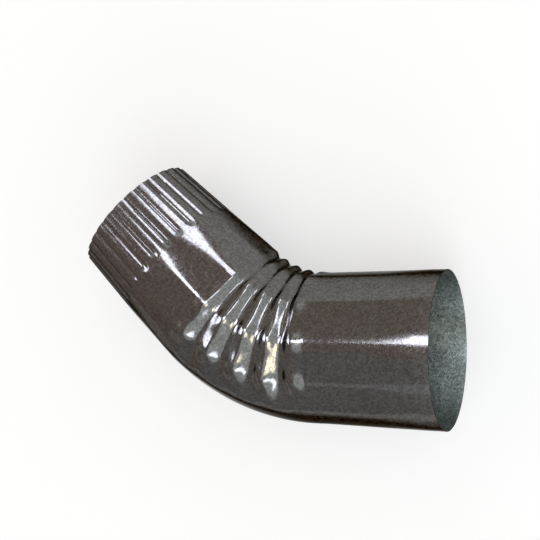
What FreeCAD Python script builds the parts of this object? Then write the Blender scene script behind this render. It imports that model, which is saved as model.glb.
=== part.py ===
"""Round downspout elbow, pressed from one sheet of galvanised steel.

A crimped spigot widens to a plain sleeve, which runs into a pleated bend and on through a plain leg
to a round socket. The wall is what is left when the inner form, set in by the sheet's thickness,
is cut from the outer one. The elbow lies on its side, with the bend in the XY plane, the socket
facing +X and the throat of the bend towards +Y.
"""

import FreeCAD, Part
import math
import os

# Sheet and bend, in millimetres and degrees
SHEET = 0.5
BEND_ANGLE = 45.0
BEND_RADIUS = 100.0

# Plain end: a short round socket, and the leg that widens into it from the bend
SOCKET_BORE = 102.0
SOCKET_DEPTH = 10.0
SOCKET_LEG = 76.0
LEG_DIAMETER = 101.0

# Crimped end: V grooves pressed in lengthwise, where they run out, and the sleeve up to the bend
TIP_DIAMETER = 92.0
NECK_DIAMETER = 98.4
CRIMP_LENGTH = 42.0
CRIMP_RUN_OUT = 6.0
CRIMP_COUNT = 28
CRIMP_DEPTH = 1.1
CRIMP_ANGLE = 116.0
SLEEVE_LENGTH = 42.0
SLEEVE_DIAMETER = 103.6

# Pleats across the bend: their height where they have the centre line's pitch, how much of it stands
# above the plain wall, the share of the bend that lies between the first crest and the last, and the
# angles from the throat at which they start to fade and are gone
PLEAT_COUNT = 5
PLEAT_HEIGHT = 3.8
CREST_SHARE = 0.15
CREST_SPAN = 0.94
PLEAT_FADE_START = 100.0
PLEAT_FADE_END = 140.0
STEPS_PER_PLEAT = 6

# Panels that the forming jaws press round the body, from 0 for round to 1 for flat, how far the crests
# rise to a knob at the panels' corners and sink between them, and the length before the socket in
# which the panels fade
PANEL_COUNT = 12
PANEL_FLATNESS = 0.85
KNOB_HEIGHT = 0.8
CREST_PINCH = 0.3
PANEL_FADE = 30.0
FADE_STEPS = 3

# Sizes that follow from those above, with distances along the centre line from the crimped tip
RUN_OUT_END = CRIMP_LENGTH + CRIMP_RUN_OUT
BEND_ARC = BEND_RADIUS * math.radians(BEND_ANGLE)
BEND_START = RUN_OUT_END + SLEEVE_LENGTH
BEND_END = BEND_START + BEND_ARC
SOCKET_START = BEND_END + SOCKET_LEG
SOCKET_DIAMETER = SOCKET_BORE + 2 * SHEET
PLEAT_PITCH = BEND_ARC * CREST_SPAN / (PLEAT_COUNT - 1)
FIRST_CREST = BEND_START + BEND_ARC * (1 - CREST_SPAN) / 2
FIRST_FOOT = FIRST_CREST - PLEAT_PITCH / 2
LAST_FOOT = FIRST_CREST + PLEAT_PITCH * (PLEAT_COUNT - 0.5)
FADE_START = SOCKET_START - PANEL_FADE
TAPER = (NECK_DIAMETER - TIP_DIAMETER) / 2 / RUN_OUT_END
UP = FreeCAD.Vector(0, 0, 1)
IN_LINE = SHEET / 1000


def section_frame(distance):
    """Centre of the section at a distance along the centre line, and its direction to the throat."""
    turn = math.radians(BEND_ANGLE)
    left = turn - min(max((distance - BEND_START) / BEND_RADIUS, 0), turn)
    throat = FreeCAD.Vector(math.sin(left), math.cos(left), 0)
    along = FreeCAD.Vector(math.cos(left), -math.sin(left), 0)
    straight = min(distance - BEND_START, 0) + max(distance - BEND_END, 0)
    return along * straight - throat * BEND_RADIUS, throat


def point_at(distance, angle, radius):
    """A point of the section at a distance, at an angle from the throat."""
    centre, throat = section_frame(distance)
    return centre + (throat * math.cos(angle) + UP * math.sin(angle)) * radius


def crimp_groove(inset, overrun):
    """Cutters for one groove at the throat: the straight stretch, and the run-out that closes it."""
    half = math.radians(CRIMP_ANGLE / 2)
    sunk = CRIMP_DEPTH + inset / math.sin(half)

    def bottom(distance, depth):
        return point_at(distance, 0, TIP_DIAMETER / 2 + TAPER * distance - depth)

    deepest = bottom(CRIMP_LENGTH, sunk)
    rise = bottom(CRIMP_LENGTH, -sunk) - deepest
    spread = UP * (rise.Length * math.tan(half))
    corners = [deepest, deepest + rise + spread, deepest + rise - spread]
    section = Part.Face(Part.makePolygon(corners + corners[:1]))
    to_tip = bottom(-overrun, sunk) - deepest
    to_neck = bottom(RUN_OUT_END, sunk - CRIMP_DEPTH) - deepest
    return [section.extrude(to_tip), section.extrude(to_neck * 2)]


def crimped_spigot(inset, overrun):
    """The tapered end as a solid, grooved all round from its tip."""
    tip, throat = section_frame(0)
    along = throat.cross(UP)
    small = TIP_DIAMETER / 2 - TAPER * overrun - inset
    large = NECK_DIAMETER / 2 - inset
    cone = Part.makeCone(small, large, RUN_OUT_END + overrun, tip - along * overrun, along)
    groove = crimp_groove(inset, overrun)
    cutters = []
    for crimp in range(CRIMP_COUNT):
        turn = 360 * crimp / CRIMP_COUNT
        cutters += [cutter.rotated(tip, along, turn) for cutter in groove]
    return cone.cut(cutters)


def passed(value, start, end):
    """How much of the way from start to end a value has gone, from 0 to 1."""
    return min(max((value - start) / (end - start), 0), 1)


def pleat_reach(angle, radius):
    """The share of the pleats' height at an angle from the throat, where their pitch is shortest."""
    from_throat = math.degrees(math.acos(math.cos(angle)))
    gone = passed(from_throat, PLEAT_FADE_START, PLEAT_FADE_END)
    pitch = 1 - radius * math.cos(angle) / BEND_RADIUS
    return pitch * (1 + math.cos(math.pi * gone)) / 2


def plain_radius(distance):
    """Outer radius of the wall between the crimps and the socket, before it is folded or panelled."""
    sleeve = (SLEEVE_DIAMETER - NECK_DIAMETER) * passed(distance, RUN_OUT_END, FIRST_FOOT)
    bend = (LEG_DIAMETER - SLEEVE_DIAMETER) * passed(distance, FIRST_FOOT, LAST_FOOT)
    leg = (SOCKET_DIAMETER - LEG_DIAMETER) * passed(distance, LAST_FOOT, SOCKET_START)
    return (NECK_DIAMETER + sleeve + bend + leg) / 2


def shallow_arc(first, middle, last):
    """An arc through three points, or a straight line where they are in line."""
    bulge = (first + last) / 2 - middle
    if bulge.Length < IN_LINE:
        return Part.LineSegment(first, last).toShape()
    return Part.Arc(first, middle, last).toShape()


def panel_ring(distance, inset, fold, crest):
    """A closed outline of shallow arcs round the wall, lifted by fold and knobbed by crest."""
    plain = plain_radius(distance) - inset
    half = math.pi / PANEL_COUNT
    shown = passed(distance, RUN_OUT_END, FIRST_FOOT) - passed(distance, FADE_START, SOCKET_START)
    dip = plain * (1 - math.cos(half)) * PANEL_FLATNESS * shown
    corner_lift = PLEAT_HEIGHT * fold + KNOB_HEIGHT * crest
    middle_lift = PLEAT_HEIGHT * fold - CREST_PINCH * crest

    def rim_point(angle, lift, sunk):
        return point_at(distance, angle, plain + lift * pleat_reach(angle, plain) - sunk)

    arcs = []
    for panel in range(PANEL_COUNT):
        middle = 2 * half * panel
        first = rim_point(middle - half, corner_lift, 0)
        last = rim_point(middle + half, corner_lift, 0)
        arcs.append(shallow_arc(first, rim_point(middle, middle_lift, dip), last))
    return Part.Wire(arcs)


def pleat_steps():
    """Distance, fold and crest share of each step of the pleats' wave along the centre line."""
    last = PLEAT_COUNT - 1
    steps = [(-0.5, 0, 0), (-0.25, CREST_SHARE / 2, 0.5)]
    for step in range(STEPS_PER_PLEAT * last + 1):
        turn = step / STEPS_PER_PLEAT
        crest = (1 + math.cos(2 * math.pi * turn)) / 2
        steps.append((turn, CREST_SHARE - 1 + crest, crest))
    steps += [(last + 0.25, CREST_SHARE / 2, 0.5), (last + 0.5, 0, 0)]
    return [(FIRST_CREST + turn * PLEAT_PITCH, fold, crest) for turn, fold, crest in steps]


def pleated_body(inset):
    """Sleeve, pleated bend and leg as a solid: round at both ends and panelled between."""
    sleeve_step = (FIRST_FOOT - RUN_OUT_END) / FADE_STEPS
    leg_step = PANEL_FADE / FADE_STEPS
    sleeve = [(RUN_OUT_END + sleeve_step * step, 0, 0) for step in range(FADE_STEPS)]
    leg = [(FADE_START + leg_step * step, 0, 0) for step in range(FADE_STEPS + 1)]
    stations = sleeve + pleat_steps() + leg
    rings = [panel_ring(distance, inset, fold, crest) for distance, fold, crest in stations]
    return Part.makeLoft(rings, True, True)


def socket(inset, overrun):
    """The true round stretch at the mouth as a solid."""
    centre, throat = section_frame(SOCKET_START)
    return Part.makeCylinder(SOCKET_DIAMETER / 2 - inset, SOCKET_DEPTH + overrun, centre, throat.cross(UP))


def form(inset, overrun):
    """The elbow's form, set in by inset and run past both ends by overrun."""
    return crimped_spigot(inset, overrun).fuse([pleated_body(inset), socket(inset, overrun)])


def elbow():
    """The sheet between the outer and the inner form, resting on the floor under its middle."""
    wall = form(0, 0).cut(form(SHEET, SHEET))
    solid = wall.Solids[0]
    box = solid.optimalBoundingBox(False)
    solid.translate(FreeCAD.Vector(-box.Center.x, -box.Center.y, -box.ZMin))
    return solid


def main():
    """Writes the elbow's solid."""
    os.makedirs("parts", exist_ok=True)
    elbow().exportStep("parts/elbow.step")


main()
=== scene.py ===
"""Round downspout elbow in bright galvanised sheet steel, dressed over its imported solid.

One sheet is drawn flat, with its length along X and its girth along Y, and a node tree forms it as
the shop does: it presses the crimps and the pleats, rolls the sheet to a tube and bends the tube.
Lengths are in metres, and distances along the elbow run down its centre line from the crimped tip.
"""

import logging
import math
from dataclasses import dataclass, field
from enum import Enum
from typing import Any, Union

import bmesh
import bpy
from mathutils import Matrix, Vector


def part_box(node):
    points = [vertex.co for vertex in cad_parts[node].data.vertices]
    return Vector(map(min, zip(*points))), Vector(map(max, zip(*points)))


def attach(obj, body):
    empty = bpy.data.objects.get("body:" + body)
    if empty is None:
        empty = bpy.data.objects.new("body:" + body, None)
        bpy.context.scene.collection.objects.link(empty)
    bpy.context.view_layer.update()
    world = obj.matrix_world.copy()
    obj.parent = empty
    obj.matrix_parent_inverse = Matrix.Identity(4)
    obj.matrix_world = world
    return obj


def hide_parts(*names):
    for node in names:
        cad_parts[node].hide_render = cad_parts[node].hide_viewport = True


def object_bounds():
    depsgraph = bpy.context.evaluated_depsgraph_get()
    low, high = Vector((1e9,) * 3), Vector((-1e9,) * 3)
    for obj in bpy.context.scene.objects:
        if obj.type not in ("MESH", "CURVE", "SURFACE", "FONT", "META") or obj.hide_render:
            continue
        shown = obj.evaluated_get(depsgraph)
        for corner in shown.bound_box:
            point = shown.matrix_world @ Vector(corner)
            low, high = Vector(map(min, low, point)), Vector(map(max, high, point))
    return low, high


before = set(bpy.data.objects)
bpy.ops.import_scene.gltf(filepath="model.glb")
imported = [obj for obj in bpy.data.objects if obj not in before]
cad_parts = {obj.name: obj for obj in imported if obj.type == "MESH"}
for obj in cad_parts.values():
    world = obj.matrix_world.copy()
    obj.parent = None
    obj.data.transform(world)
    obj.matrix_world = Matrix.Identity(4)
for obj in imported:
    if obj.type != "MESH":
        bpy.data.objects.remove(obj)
CAD_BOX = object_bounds()
MM = 0.001

# Where a Mix node has its two colours and the mixed one
MIX_FIRST = 6
MIX_SECOND = 7
MIX_RESULT = 2

Number = Union["Field", float]
log = logging.getLogger("downspout_elbow")


class Ramp(Enum):
    """How a value goes from one level to another."""

    STRAIGHT = "LINEAR"
    EASED = "SMOOTHSTEP"


def linear_colour(code: str) -> tuple[float, float, float, float]:
    """Turns an sRGB hex code to a linear colour.

    Args:
        code: six hex digits after a hash sign.

    Returns:
        Red, green, blue and a full alpha.
    """
    parts = [int(code[i:i + 2], 16) / 255 for i in (1, 3, 5)]
    red, green, blue = [
        part / 12.92 if part <= 0.04045 else ((part + 0.055) / 1.055) ** 2.4 for part in parts]
    return red, green, blue, 1.0


def add_node(
    tree: bpy.types.NodeTree, kind: str, settings: dict[str, Any], links: dict[Any, Any]
) -> bpy.types.Node:
    """Adds a node to a tree.

    Args:
        tree: the tree that takes the node.
        kind: the node's type name.
        settings: the node's own properties.
        links: what each input takes, by name or index, either an output socket or a plain value.

    Returns:
        The new node.
    """
    node = tree.nodes.new(kind)
    for name, value in settings.items():
        setattr(node, name, value)
    for key, value in links.items():
        if isinstance(value, bpy.types.NodeSocket):
            tree.links.new(value, node.inputs[key])
        else:
            node.inputs[key].default_value = value
    return node


class Field:
    """A number that varies over the sheet or the room, carried by one socket of a node tree."""

    def __init__(self, tree: bpy.types.NodeTree, socket: bpy.types.NodeSocket) -> None:
        """Keeps the tree and the socket."""
        self.tree = tree
        self.socket = socket

    def links(self, *others: Number) -> dict[int, Any]:
        """What a node's inputs take in order, starting with this number."""
        values = [self, *others]
        return {i: v.socket if isinstance(v, Field) else v for i, v in enumerate(values)}

    def math(self, operation: str, *others: Number) -> "Field":
        """Puts this number through a math node.

        Args:
            operation: the math node's operation.
            others: the operands after this one.

        Returns:
            The result.
        """
        settings = {"operation": operation}
        node = add_node(self.tree, "ShaderNodeMath", settings, self.links(*others))
        return Field(self.tree, node.outputs[0])

    def ramp(
        self, start: Number, end: Number, low: Number = 0.0, high: Number = 1.0,
        shape: Ramp = Ramp.STRAIGHT
    ) -> "Field":
        """Maps this number from one range to another, held at both ends.

        Args:
            start: where the ramp starts.
            end: where it ends.
            low: its level before the start.
            high: its level after the end.
            shape: how it goes between them.

        Returns:
            The level.
        """
        settings = {"interpolation_type": shape.value}
        links = self.links(start, end, low, high)
        node = add_node(self.tree, "ShaderNodeMapRange", settings, links)
        return Field(self.tree, node.outputs[0])

    def __add__(self, other: Number) -> "Field":
        """Adds a number."""
        return self.math("ADD", other)

    def __sub__(self, other: Number) -> "Field":
        """Takes a number away."""
        return self.math("SUBTRACT", other)

    def __mul__(self, other: Number) -> "Field":
        """Multiplies by a number."""
        return self.math("MULTIPLY", other)

    def __truediv__(self, other: Number) -> "Field":
        """Divides by a number."""
        return self.math("DIVIDE", other)

    def cos(self) -> "Field":
        """The cosine of this angle."""
        return self.math("COSINE")

    def sin(self) -> "Field":
        """The sine of this angle."""
        return self.math("SINE")

    def held(self, low: Number, high: Number) -> "Field":
        """This number, kept between two others."""
        return self.math("MAXIMUM", low).math("MINIMUM", high)

    def off_nearest(self, pitch: float) -> "Field":
        """How far this number lies from the nearest multiple of a pitch, without its sign."""
        turns = self / pitch
        return (turns - turns.math("ROUND")).math("ABSOLUTE") * pitch


@dataclass(frozen=True)
class GalvanisedSteel:
    """Steel sheet, hot-dipped in zinc and left bright.

    The zinc freezes in crystals about a millimetre across, the spangle. Each crystal shines a
    little more or less than its neighbour, so the sheet mirrors its surroundings with a fine
    speckle.
    """

    name: str
    bright: str
    dull: str
    edge: str
    smooth: float
    rough: float
    spangle_mm: float = 1.2
    grain_mm: float = 0.7
    relief_mm: float = 0.012
    relief_strength: float = 0.35

    def material(self) -> bpy.types.Material:
        """Builds the zinc's material.

        Returns:
            The material.
        """
        made = bpy.data.materials.new(self.name)
        made.use_nodes = True
        tree = made.node_tree
        tree.nodes.clear()
        place = add_node(tree, "ShaderNodeTexCoord", {}, {}).outputs["Object"]
        spangle = add_node(tree, "ShaderNodeTexVoronoi", {}, {
            "Vector": place, "Scale": 1 / (self.spangle_mm * MM)})
        crystal = add_node(tree, "ShaderNodeSeparateColor", {}, {
            "Color": spangle.outputs["Color"]})
        grain = add_node(tree, "ShaderNodeTexNoise", {}, {
            "Vector": place, "Scale": 1 / (self.grain_mm * MM)})
        shade = add_node(tree, "ShaderNodeMix", {"data_type": "RGBA"}, {
            "Factor": crystal.outputs["Red"],
            MIX_FIRST: linear_colour(self.dull),
            MIX_SECOND: linear_colour(self.bright)})
        gloss = add_node(tree, "ShaderNodeMapRange", {}, {
            "Value": crystal.outputs["Green"], "To Min": self.smooth, "To Max": self.rough})
        relief = add_node(tree, "ShaderNodeBump", {}, {
            "Strength": self.relief_strength,
            "Distance": self.relief_mm * MM,
            "Height": grain.outputs["Fac"]})
        metal = add_node(tree, "ShaderNodeBsdfPrincipled", {}, {
            "Base Color": shade.outputs[MIX_RESULT],
            "Metallic": 1.0,
            "Specular Tint": linear_colour(self.edge),
            "Roughness": gloss.outputs["Result"],
            "Normal": relief.outputs["Normal"]})
        add_node(tree, "ShaderNodeOutputMaterial", {}, {"Surface": metal.outputs["BSDF"]})
        return made


# The outside's zinc is painted dark, as painted shade: its colour stands in for the dark room that
# the sheet mirrors, and it mirrors sharply
OUTSIDE = GalvanisedSteel(
    "galvanised_steel_painted_dark_reflection",
    bright="#6F6D6B", dull="#575553", edge="#7E7B78", smooth=0.1, rough=0.19)
# The inside is paler than the outside's painted-dark zinc, and too dull to mirror more than a soft
# glow
INSIDE = GalvanisedSteel(
    "galvanised_steel_paler_inside",
    bright="#949B96", dull="#787F7B", edge="#949B96", smooth=0.34, rough=0.5, relief_mm=0.006)


@dataclass(frozen=True)
class FloorPaint:
    """Matt white emulsion on the studio floor, which takes a soft shadow.

    The camera and the mirroring metal see a share of the floor as plain white, as on a sheet that
    is lit from below, so the shadow stays pale.
    """

    name: str = "floor_matt_white_paint"
    colour: str = "#FAF6F5"
    roughness: float = 0.9
    plain_share: float = 0.5

    def material(self) -> bpy.types.Material:
        """Builds the paint's material.

        Returns:
            The material.
        """
        made = bpy.data.materials.new(self.name)
        made.use_nodes = True
        tree = made.node_tree
        tree.nodes.clear()
        paint = add_node(tree, "ShaderNodeBsdfPrincipled", {}, {
            "Base Color": linear_colour(self.colour),
            "Roughness": self.roughness,
            "Specular IOR Level": 0.0})
        path = add_node(tree, "ShaderNodeLightPath", {}, {})
        camera, mirror, glass = (
            Field(tree, path.outputs[f"Is {kind} Ray"])
            for kind in ("Camera", "Glossy", "Transmission"))
        seen = (camera + mirror + glass).math("MINIMUM", 1.0) * self.plain_share
        white = add_node(tree, "ShaderNodeEmission", {}, {"Strength": 1.0})
        sheet = add_node(tree, "ShaderNodeMixShader", {}, {
            0: seen.socket, 1: paint.outputs["BSDF"], 2: white.outputs["Emission"]})
        add_node(tree, "ShaderNodeOutputMaterial", {}, {"Surface": sheet.outputs["Shader"]})
        # The plain white is seen and never sampled as a lamp
        made.cycles.emission_sampling = "NONE"
        return made


@dataclass
class ElbowBody:
    """The whole elbow: crimped spigot, sleeve, pleated bend, leg and socket in one sheet."""

    outside: GalvanisedSteel
    inside: GalvanisedSteel
    sheet: float = 0.5 * MM
    bend_angle: float = math.radians(45)
    bend_radius: float = 100 * MM
    tip_radius: float = 46 * MM
    neck_radius: float = 49.2 * MM
    sleeve_radius: float = 51.8 * MM
    leg_radius: float = 50.5 * MM
    socket_radius: float = 51.5 * MM
    crimp_length: float = 42 * MM
    crimp_run_out: float = 6 * MM
    crimp_count: int = 28
    crimp_depth: float = 1.1 * MM
    crimp_half_width: float = 1.7 * MM
    land_crown: float = 0.7 * MM
    sleeve_length: float = 42 * MM
    leg_length: float = 76 * MM
    socket_depth: float = 10 * MM
    pleat_count: int = 5
    pleat_height: float = 3.8 * MM
    crest_share: float = 0.15
    crest_span: float = 0.94
    crest_sharpness: float = 0.5
    knob_height: float = 0.55 * MM
    crest_pinch: float = 0.7 * MM
    pleat_fade: tuple[float, float] = (math.radians(100), math.radians(140))
    panel_count: int = 12
    panel_fade: float = 30 * MM
    corner_softness: tuple[float, float] = (0.012, 0.03)
    wobble: float = 0.12 * MM
    wobble_length: float = 26 * MM
    wobble_detail: float = 1.0
    wobble_seed: float = 3.0
    columns_per_crimp: int = 12
    row_counts: tuple[int, ...] = (7, 8, 12, 88, 5, 8, 3)
    closing_gap: float = 0.01 * MM
    crease_angle: float = math.radians(50)
    run_out_end: float = field(init=False)
    bend_start: float = field(init=False)
    bend_end: float = field(init=False)
    socket_start: float = field(init=False)
    mouth: float = field(init=False)
    pleat_pitch: float = field(init=False)
    first_crest: float = field(init=False)
    first_foot: float = field(init=False)
    last_foot: float = field(init=False)
    fade_start: float = field(init=False)

    def __post_init__(self) -> None:
        """Works out where each stretch starts along the centre line."""
        arc = self.bend_radius * self.bend_angle
        self.run_out_end = self.crimp_length + self.crimp_run_out
        self.bend_start = self.run_out_end + self.sleeve_length
        self.bend_end = self.bend_start + arc
        self.socket_start = self.bend_end + self.leg_length
        self.mouth = self.socket_start + self.socket_depth
        self.pleat_pitch = arc * self.crest_span / (self.pleat_count - 1)
        self.first_crest = self.bend_start + arc * (1 - self.crest_span) / 2
        self.first_foot = self.first_crest - self.pleat_pitch / 2
        self.last_foot = self.first_crest + self.pleat_pitch * (self.pleat_count - 0.5)
        self.fade_start = self.socket_start - self.panel_fade

    def rows(self) -> list[float]:
        """Lists where the blank has rows of points, closest where the sheet is folded.

        Returns:
            Distances from the crimped tip.
        """
        ends = [
            self.crimp_length, self.run_out_end, self.first_foot, self.last_foot,
            self.fade_start, self.socket_start, self.mouth]
        made = [0.0]
        for start, end, count in zip([0.0, *ends], ends, self.row_counts):
            made += [start + (end - start) * (i + 1) / count for i in range(count)]
        return made

    def blank(self) -> bpy.types.Mesh:
        """Cuts the flat sheet that the elbow is formed from.

        Returns:
            A flat grid, with its girth along Y measured in radians round the tube.
        """
        columns = self.crimp_count * self.columns_per_crimp
        angles = [math.tau * i / columns - math.pi for i in range(columns + 1)]
        rows = self.rows()
        points = [(row, angle, 0.0) for row in rows for angle in angles]
        wide = columns + 1
        faces = [
            (r * wide + c, r * wide + c + 1, (r + 1) * wide + c + 1, (r + 1) * wide + c)
            for r in range(len(rows) - 1)
            for c in range(columns)]
        mesh = bpy.data.meshes.new("elbow_blank")
        mesh.from_pydata(points, [], faces)
        return mesh

    def crimps(self, along: Field, angle: Field) -> Field:
        """Presses the crimps, with the lands between the grooves crowned.

        Args:
            along: distance from the crimped tip.
            angle: angle from the throat.

        Returns:
            How deep the sheet is pressed in.
        """
        pitch = math.tau / self.crimp_count
        aside = angle.off_nearest(pitch) * self.tip_radius
        deepest = self.crimp_depth - self.land_crown
        groove = aside.ramp(0.0, self.crimp_half_width, deepest, 0.0, Ramp.EASED)
        land = aside.ramp(0.0, pitch * self.tip_radius / 2, 1.0, 0.0)
        pressed = along.ramp(self.crimp_length, self.run_out_end, 1.0, 0.0, Ramp.EASED)
        return (groove + land * land * self.land_crown) * pressed

    def pleat_turn(self, along: Field) -> Field:
        """Finds which pleat a point is at.

        Args:
            along: distance from the crimped tip.

        Returns:
            Pitches from the first crest, held half a pitch past the first and the last one.
        """
        last = float(self.pleat_count - 1)
        turn = (along - self.first_crest) / self.pleat_pitch
        return turn.held(-0.5, last + 0.5)

    def pleat_reach(self, angle: Field, radius: Field) -> Field:
        """Finds how far the pleats reach, which follows their pitch and ends before the heel.

        Args:
            angle: angle from the throat.
            radius: the plain tube's radius.

        Returns:
            The share of the pleats' height.
        """
        start, end = self.pleat_fade
        pitch = angle.cos() * radius / self.bend_radius * -1.0 + 1.0
        gone = angle.math("ABSOLUTE").ramp(start, end, 0.0, math.pi)
        return pitch * (gone.cos() + 1.0) / 2.0

    def crest(self, turn: Field) -> Field:
        """Shapes the pleats' wave, with nearly straight flanks between crest and valley.

        Args:
            turn: pitches from the first crest.

        Returns:
            A level from 0 in a valley to 1 on a crest.
        """
        blunt = math.acos(self.crest_sharpness)
        swing = ((turn * math.tau).cos() * self.crest_sharpness).math("ARCCOSINE")
        return swing.ramp(math.pi - blunt, blunt)

    def pleats(self, turn: Field, crest: Field, reach: Field) -> Field:
        """Folds the pleats, whose first and last flanks come up from the plain wall.

        Args:
            turn: pitches from the first crest.
            crest: level from 0 in a valley to 1 on a crest.
            reach: share of the pleats' height.

        Returns:
            How far the sheet is lifted, which is less than nothing in a valley.
        """
        last = float(self.pleat_count - 1)
        ends = (turn - last / 2).math("ABSOLUTE").math("GREATER_THAN", last / 2)
        depth = ends * (self.crest_share - 1) + 1.0
        return (depth * (crest - 1.0) + self.crest_share) * reach * self.pleat_height

    def knobs(self, angle: Field, crest: Field, reach: Field) -> Field:
        """Raises the crests to knobs at the panels' corners and sinks them between.

        Args:
            angle: angle from the throat.
            crest: level from 0 in a valley to 1 on a crest.
            reach: share of the pleats' height.

        Returns:
            How far the sheet is lifted.
        """
        between = ((angle * float(self.panel_count)).cos() + 1.0) / 2.0
        lift = between * -(self.knob_height + self.crest_pinch) + self.knob_height
        return lift * crest * reach

    def panels(self, along: Field, angle: Field, radius: Field) -> Field:
        """Flattens the sheet between the corners of the section, as the forming jaws do.

        Args:
            along: distance from the crimped tip.
            angle: angle from the throat.
            radius: the plain tube's radius.

        Returns:
            How far the sheet is pressed in.
        """
        pitch = math.tau / self.panel_count
        aside = angle.off_nearest(pitch)
        sag = (aside.cos() / math.cos(pitch / 2)).math("POWER", -1.0) * -1.0 + 1.0
        sleeve, leg = self.corner_softness
        softness = along.ramp(self.first_foot, self.first_crest, sleeve, leg)
        soft = (sag * sag + softness * softness).math("SQRT") - softness
        risen = along.ramp(self.run_out_end, self.first_foot)
        faded = along.ramp(self.fade_start, self.socket_start)
        return soft * (risen - faded) * radius

    def plain_radius(self, along: Field) -> Field:
        """Finds the tube's outer radius where nothing is pressed into it.

        Args:
            along: distance from the crimped tip.

        Returns:
            The radius.
        """
        steps = [
            (0.0, self.run_out_end, self.neck_radius - self.tip_radius),
            (self.run_out_end, self.first_foot, self.sleeve_radius - self.neck_radius),
            (self.first_foot, self.last_foot, self.leg_radius - self.sleeve_radius),
            (self.last_foot, self.socket_start, self.socket_radius - self.leg_radius)]
        radius = along * 0.0 + self.tip_radius
        for start, end, growth in steps:
            radius = radius + along.ramp(start, end, 0.0, growth)
        return radius

    def pressed_radius(self, along: Field, angle: Field) -> Field:
        """Finds the tube's outer radius with all that is pressed into it.

        Args:
            along: distance from the crimped tip.
            angle: angle from the throat.

        Returns:
            The radius.
        """
        plain = self.plain_radius(along)
        turn, reach = self.pleat_turn(along), self.pleat_reach(angle, plain)
        crest = self.crest(turn)
        flattened = plain - self.panels(along, angle, plain)
        lifted = flattened + self.pleats(turn, crest, reach) + self.knobs(angle, crest, reach)
        return lifted - self.crimps(along, angle)

    def forming_tree(self, material: bpy.types.Material) -> bpy.types.NodeTree:
        """Builds the node tree that forms the blank.

        Args:
            material: the sheet's finish.

        Returns:
            The tree.
        """
        tree = bpy.data.node_groups.new("form_elbow", "GeometryNodeTree")
        tree.interface.new_socket("Blank", in_out="INPUT", socket_type="NodeSocketGeometry")
        tree.interface.new_socket("Elbow", in_out="OUTPUT", socket_type="NodeSocketGeometry")
        names = ("Bend Radius", "Bend Angle", "Wobble")
        for name in names:
            tree.interface.new_socket(name, in_out="INPUT", socket_type="NodeSocketFloat")
        given = add_node(tree, "NodeGroupInput", {}, {})
        bend_radius, bend_angle, wobble = (Field(tree, given.outputs[name]) for name in names)
        place = add_node(tree, "GeometryNodeInputPosition", {}, {}).outputs[0]
        flat = add_node(tree, "ShaderNodeSeparateXYZ", {}, {0: place})
        along, angle = Field(tree, flat.outputs["X"]), Field(tree, flat.outputs["Y"])

        radius = self.pressed_radius(along, angle)
        past = along - self.bend_start
        left = bend_angle - (past / bend_radius).held(0.0, bend_angle)
        straight = past.math("MINIMUM", 0.0) + (along - self.bend_end).math("MAXIMUM", 0.0)
        tilt = angle.cos() * radius - bend_radius
        x = left.cos() * straight + left.sin() * tilt
        y = left.cos() * tilt - left.sin() * straight
        z = angle.sin() * radius
        formed = add_node(tree, "ShaderNodeCombineXYZ", {}, {
            0: x.socket, 1: y.socket, 2: z.socket})
        rolled = add_node(tree, "GeometryNodeSetPosition", {}, {
            "Geometry": given.outputs["Blank"], "Position": formed.outputs[0]})
        closed = add_node(tree, "GeometryNodeMergeByDistance", {}, {
            "Geometry": rolled.outputs[0], "Distance": self.closing_gap})

        ripple = add_node(tree, "ShaderNodeTexNoise", {"noise_dimensions": "4D"}, {
            "W": self.wobble_seed,
            "Scale": 1 / self.wobble_length,
            "Detail": self.wobble_detail})
        sink = Field(tree, ripple.outputs["Fac"]).held(0.0, 1.0) * wobble * -1.0
        normal = add_node(tree, "GeometryNodeInputNormal", {}, {}).outputs[0]
        offset = add_node(tree, "ShaderNodeVectorMath", {"operation": "SCALE"}, {
            0: normal, "Scale": sink.socket})
        sunk = add_node(tree, "GeometryNodeSetPosition", {}, {
            "Geometry": closed.outputs[0], "Offset": offset.outputs[0]})
        real = add_node(tree, "GeometryNodeRealizeInstances", {}, {"Geometry": sunk.outputs[0]})
        coated = add_node(tree, "GeometryNodeSetMaterial", {}, {
            "Geometry": real.outputs[0], "Material": material})
        add_node(tree, "NodeGroupOutput", {}, {0: coated.outputs[0]})
        return tree

    def form(self) -> bpy.types.Mesh:
        """Forms the blank and gives it the sheet's thickness.

        Returns:
            The elbow's mesh, about the centre of its bend.
        """
        outer, inner = self.outside.material(), self.inside.material()
        tree = self.forming_tree(outer)
        blank = self.blank()
        blank.materials.append(outer)
        blank.materials.append(inner)
        worker = bpy.data.objects.new("elbow_worker", blank)
        bpy.context.scene.collection.objects.link(worker)
        former = worker.modifiers.new("form", "NODES")
        former.node_group = tree
        sizes = {
            "Bend Radius": self.bend_radius,
            "Bend Angle": self.bend_angle,
            "Wobble": self.wobble}
        for item in tree.interface.items_tree:
            if item.name in sizes:
                former[item.identifier] = sizes[item.name]
        wall = worker.modifiers.new("thickness", "SOLIDIFY")
        wall.thickness = self.sheet
        wall.offset = -1.0
        wall.use_even_offset = True
        wall.material_offset = 1
        graph = bpy.context.evaluated_depsgraph_get()
        mesh = bpy.data.meshes.new_from_object(worker.evaluated_get(graph), depsgraph=graph)
        bpy.data.objects.remove(worker)
        return mesh

    def build(self) -> bpy.types.Object:
        """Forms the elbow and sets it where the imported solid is.

        Returns:
            The finished piece.
        """
        mesh = self.form()
        mesh.name = "elbow_sheet"
        mesh.transform(Matrix.Translation(self.rest_shift()))
        mesh.shade_smooth()
        mesh.set_sharp_from_angle(angle=self.crease_angle)
        piece = bpy.data.objects.new("elbow_sheet", mesh)
        bpy.context.scene.collection.objects.link(piece)
        return piece

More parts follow.
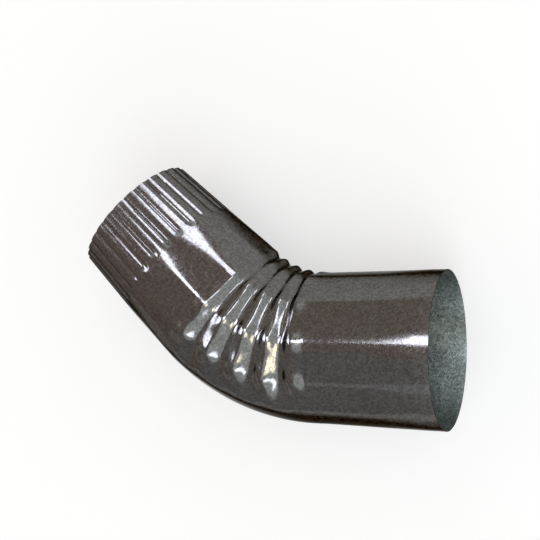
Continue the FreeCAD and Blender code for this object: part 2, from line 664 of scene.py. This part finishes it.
    def rest_shift(self) -> Vector:
        """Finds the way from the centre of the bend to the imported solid's place.

        Returns:
            The move.
        """
        low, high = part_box("elbow")
        bend_end_x = high.x - (self.mouth - self.bend_end)
        socket_axis_y = low.y + self.socket_radius
        return Vector((bend_end_x, socket_axis_y + self.bend_radius, self.socket_radius))

    def dress(self, piece: bpy.types.Object) -> None:
        """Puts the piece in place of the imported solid, on the one body of the part.

        Args:
            piece: the finished piece.
        """
        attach(piece, "root")
        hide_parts("elbow")


@dataclass(frozen=True)
class SoftBox:
    """One studio lamp, which the sheet mirrors and the matt floor doesn't take."""

    name: str
    towards: tuple[float, float, float]
    along: tuple[float, float, float]
    distance: float
    width: float
    depth: float
    watts: float
    colour: str = "#E6EDFF"

    def build(self, target: Vector) -> bpy.types.Object:
        """Hangs the lamp.

        Args:
            target: the point that it shines at.

        Returns:
            The lamp's object.
        """
        data = bpy.data.lights.new(self.name, "AREA")
        data.shape = "RECTANGLE"
        data.size = self.width
        data.size_y = self.depth
        data.energy = self.watts
        data.color = linear_colour(self.colour)[:3]
        lamp = bpy.data.objects.new(self.name, data)
        lamp.visible_diffuse = False
        heading = Vector(self.towards).normalized()
        upward = heading.cross(Vector(self.along)).normalized()
        turn = Matrix((upward.cross(heading), upward, heading)).transposed().to_4x4()
        lamp.matrix_world = Matrix.Translation(target + heading * self.distance) @ turn
        bpy.context.scene.collection.objects.link(lamp)
        return lamp


@dataclass(frozen=True)
class DarkFlag:
    """Dark cloth over a belt of the room, square to an axis, which the sheet mirrors.

    Its middle leans along the axis by the cosine of an angle, and its colour changes from the front
    of the room to the back.
    """

    axis: tuple[float, float, float]
    lean: float
    half_width: float
    colour: str
    front_colour: str
    softness: float = 0.35
    front: tuple[float, float] = (-0.2, 0.3)

    def hang(
        self, tree: bpy.types.NodeTree, heading: bpy.types.NodeSocket, behind: Any
    ) -> bpy.types.NodeSocket:
        """Hangs the cloth in the room.

        Args:
            tree: the room's node tree.
            heading: the direction from the object.
            behind: the room's colour without the cloth, as a socket or a plain colour.

        Returns:
            The room's colour with the cloth.
        """
        across = add_node(tree, "ShaderNodeVectorMath", {"operation": "DOT_PRODUCT"}, {
            0: heading, 1: self.axis})
        away = (Field(tree, across.outputs["Value"]) - self.lean).math("ABSOLUTE")
        fade = self.half_width * self.softness
        shown = away.ramp(self.half_width - fade, self.half_width + fade, 1.0, 0.0, Ramp.EASED)
        parts = add_node(tree, "ShaderNodeSeparateXYZ", {}, {0: heading})
        back = Field(tree, parts.outputs["Y"]).ramp(*self.front)
        cloth = add_node(tree, "ShaderNodeMix", {"data_type": "RGBA"}, {
            "Factor": back.socket,
            MIX_FIRST: linear_colour(self.front_colour),
            MIX_SECOND: linear_colour(self.colour)})
        mixed = add_node(tree, "ShaderNodeMix", {"data_type": "RGBA"}, {
            "Factor": shown.socket,
            MIX_FIRST: behind,
            MIX_SECOND: cloth.outputs[MIX_RESULT]})
        return mixed.outputs[MIX_RESULT]


# The room's left side is dark, and a narrower belt faces the sleeve
FLAGS = (
    DarkFlag((1, 0, 0), -0.7, 0.5, "#A0978F", "#949494", 0.1),
    DarkFlag((0.7071, -0.7071, 0), -0.36, 0.15, "#9B8D86", "#9B8D86"),
)

# Each lamp's direction, the run of its width, its distance, width and depth, and its power
SOFT_BOXES = (
    SoftBox("overhead_box", (-0.01, 0.345, 0.935), (1, -0.24, 0), 1.6, 0.8, 0.32, 11.5),
    SoftBox("rear_box", (0.33, 0.87, 0.36), (0.875, -0.41, 0), 1.8, 0.5, 0.85, 12.4),
    SoftBox("left_box", (-0.81, 0.28, 0.5), (0, 0, 1), 1.6, 1.15, 0.6, 21.2),
    SoftBox("front_box", (0.45, -0.28, 0.85), (1, -0.3, 0), 1.6, 0.6, 0.5, 7.1, "#FFF6D8"),
    SoftBox("low_box", (0.26, -0.8, 0.5), (1, 0.3, 0), 1.6, 0.8, 0.4, 8.9),
    SoftBox("right_box", (0.48, 0.5, 0.72), (0.5, -0.48, 0), 1.6, 0.25, 0.5, 4.4),
    SoftBox("crown_box", (0.2, 0.14, 0.97), (1, 0, 0), 1.6, 0.7, 0.5, 9.7),
    SoftBox("fill_box", (-0.25, -0.7, 0.67), (1, 0, 0), 1.6, 0.8, 0.4, 0.31),
)


@dataclass
class Studio:
    """White floor, soft boxes, the room's even light with its dark flags, and the camera."""

    paint: FloorPaint
    flags: tuple[DarkFlag, ...]
    boxes: tuple[SoftBox, ...]
    floor_reach: float = 6.0
    floor_segments: int = 96
    room: str = "#EEF6F8"
    room_strength: float = 1.73
    camera_place: tuple[float, float, float] = (0.27845, 0.09061, 0.6674)
    camera_ahead: tuple[float, float, float] = (-0.402, -0.1106, -0.9089)
    camera_up: tuple[float, float, float] = (0.0121, 0.9919, -0.1261)
    lens_mm: float = 66.67
    sensor_mm: float = 36.0

    def lay_floor(self) -> bpy.types.Object:
        """Lays the floor under the object.

        Returns:
            The floor's object.
        """
        mesh = bpy.data.meshes.new("studio_floor")
        body = bmesh.new()
        bmesh.ops.create_circle(
            body, cap_ends=True, segments=self.floor_segments, radius=self.floor_reach)
        body.to_mesh(mesh)
        body.free()
        mesh.materials.append(self.paint.material())
        floor = bpy.data.objects.new("studio_floor", mesh)
        bpy.context.scene.collection.objects.link(floor)
        return floor

    def light_room(self) -> None:
        """Fills the room with even light, but for the dark flags that the sheet mirrors."""
        world = bpy.data.worlds.new("studio_room")
        bpy.context.scene.world = world
        world.use_nodes = True
        tree = world.node_tree
        tree.nodes.clear()
        heading = add_node(tree, "ShaderNodeTexCoord", {}, {}).outputs["Generated"]
        colour: Any = linear_colour(self.room)
        for flag in self.flags:
            colour = flag.hang(tree, heading, colour)
        glow = add_node(tree, "ShaderNodeBackground", {}, {
            "Color": colour, "Strength": self.room_strength})
        add_node(tree, "ShaderNodeOutputWorld", {}, {"Surface": glow.outputs[0]})

    def set_camera(self) -> bpy.types.Object:
        """Sets the camera where the photograph was taken from.

        Returns:
            The camera's object.
        """
        data = bpy.data.cameras.new("photo_camera")
        data.lens = self.lens_mm
        data.sensor_width = self.sensor_mm
        camera = bpy.data.objects.new("photo_camera", data)
        ahead = Vector(self.camera_ahead).normalized()
        right = ahead.cross(Vector(self.camera_up)).normalized()
        upward = right.cross(ahead)
        turn = Matrix((right, upward, -ahead)).transposed().to_4x4()
        camera.matrix_world = Matrix.Translation(self.camera_place) @ turn
        bpy.context.scene.collection.objects.link(camera)
        bpy.context.scene.camera = camera
        return camera

    def build(self) -> None:
        """Sets up everything round the object."""
        low, high = CAD_BOX
        self.lay_floor()
        for box in self.boxes:
            box.build((low + high) / 2)
        self.light_room()
        self.set_camera()
        bpy.context.scene.view_settings.view_transform = "Standard"


def main() -> None:
    """Builds the elbow and the studio round it."""
    logging.basicConfig(level=logging.INFO, format="%(message)s")
    body = ElbowBody(OUTSIDE, INSIDE)
    piece = body.build()
    body.dress(piece)
    log.info("%s: %d faces", piece.name, len(piece.data.polygons))
    Studio(FloorPaint(), FLAGS, SOFT_BOXES).build()
    log.info("studio: floor, %d soft boxes and camera", len(SOFT_BOXES))


if __name__ == "__main__":
    main()
